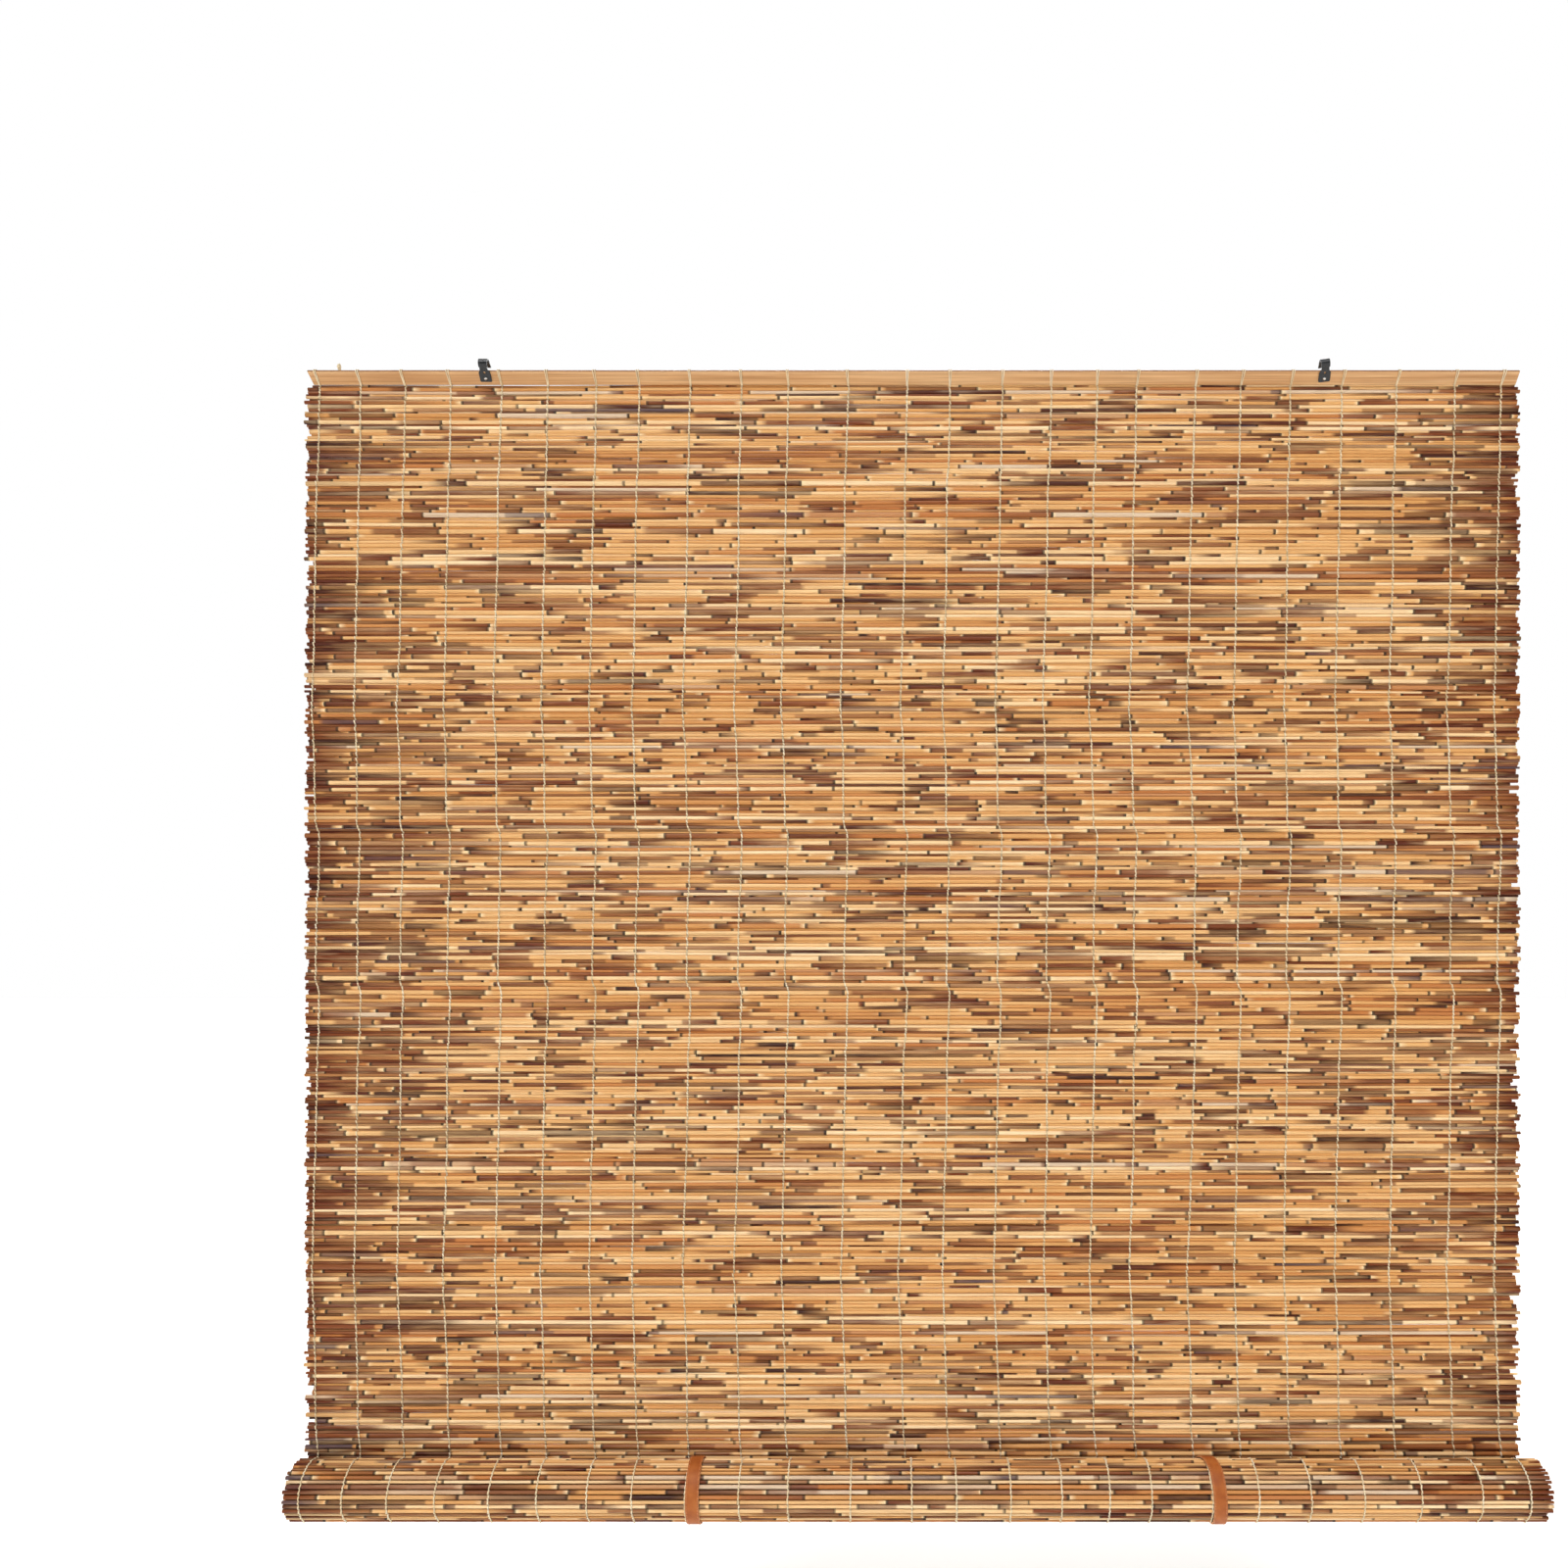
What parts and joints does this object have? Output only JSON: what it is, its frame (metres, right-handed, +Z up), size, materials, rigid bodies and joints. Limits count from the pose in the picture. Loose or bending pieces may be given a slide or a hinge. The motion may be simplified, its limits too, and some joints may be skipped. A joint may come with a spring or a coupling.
{
  "type": "reed roll up blind",
  "caption": "Mat of thin natural reeds bound by strings, hung by two hooks from a bamboo slat, its lower part rolled up and held by two leather straps.",
  "frame": {"origin": "middle of the slat, on the line that both hooks hang from (the middle of the rail)", "axes": "+X to the room's right along the slat, -Y out into the room towards the viewer, +Z up"},
  "size_m": [1.6233, 0.086, 1.5193],
  "materials": {
    "bamboo_slat": "smooth split bamboo, lightly browned",
    "reed": "dried reed stems, straw to brown, satin skin",
    "binding_string": "twisted natural yarn",
    "black_steel": "black stoved enamel on pressed steel",
    "rivet_metal": "bright zinc plated rivet",
    "strap_leather": "saddle brown leather, stitched edges",
    "stud_metal": "antique brass press stud"
  },
  "bodies": {
    "header": {"header_slat": "bamboo_slat", "rivet_left": "rivet_metal", "rivet_right": "rivet_metal", "hanging_reeds": "reed", "string_01": "binding_string", "string_02": "binding_string", "string_03": "binding_string", "string_04": "binding_string", "string_05": "binding_string", "string_06": "binding_string", "string_07": "binding_string", "string_08": "binding_string", "string_09": "binding_string", "string_10": "binding_string", "string_11": "binding_string", "string_12": "binding_string", "string_13": "binding_string", "string_14": "binding_string", "string_15": "binding_string", "string_16": "binding_string", "string_17": "binding_string", "string_18": "binding_string", "string_19": "binding_string", "string_20": "binding_string", "string_21": "binding_string", "string_22": "binding_string", "string_23": "binding_string", "string_24": "binding_string", "string_25": "binding_string"},
    "left_hanger": {"hanger_left": "black_steel"},
    "right_hanger": {"hanger_right": "black_steel"},
    "straps": {"strap_left": "strap_leather", "strap_right": "strap_leather", "press_stud_left": "stud_metal", "press_stud_right": "stud_metal"},
    "roll": {"rolled_reeds_outer": "reed", "rolled_reeds_inner": "reed", "rolled_strings": "binding_string", "foot_slat": "bamboo_slat"}
  },
  "joints": [
    {"name": "swivel_left", "type": "hinge", "parent": "header", "child": "left_hanger", "pos_m": [-0.5635, 0.00896, -0.01317], "axis": [0, -0.6947, -0.7193], "range_deg": [-20, 20]},
    {"name": "swivel_right", "type": "hinge", "parent": "header", "child": "right_hanger", "pos_m": [0.544, 0.00896, -0.01317], "axis": [0, -0.6947, -0.7193], "range_deg": [-27, 13]},
    {"name": "lift", "type": "slide", "parent": "header", "child": "straps", "axis": [0, 0, 1], "range_m": [0, 1.327], "deforming": ["hanging_reeds", "string_01", "string_02", "string_03", "string_04", "string_05", "string_06", "string_07", "string_08", "string_09", "string_10", "string_11", "string_12", "string_13", "string_14", "string_15", "string_16", "string_17", "string_18", "string_19", "string_20", "string_21", "string_22", "string_23", "string_24", "string_25"]},
    {"name": "roll_turn", "type": "hinge", "parent": "straps", "child": "roll", "pos_m": [0, -0.01955, -1.47134], "axis": [1, 0, 0], "range_deg": [-2160, 0]}
  ],
  "couplings": [
    {"joint": "roll_turn", "follows": "lift", "rad_per_m": -28.406}
  ]
}
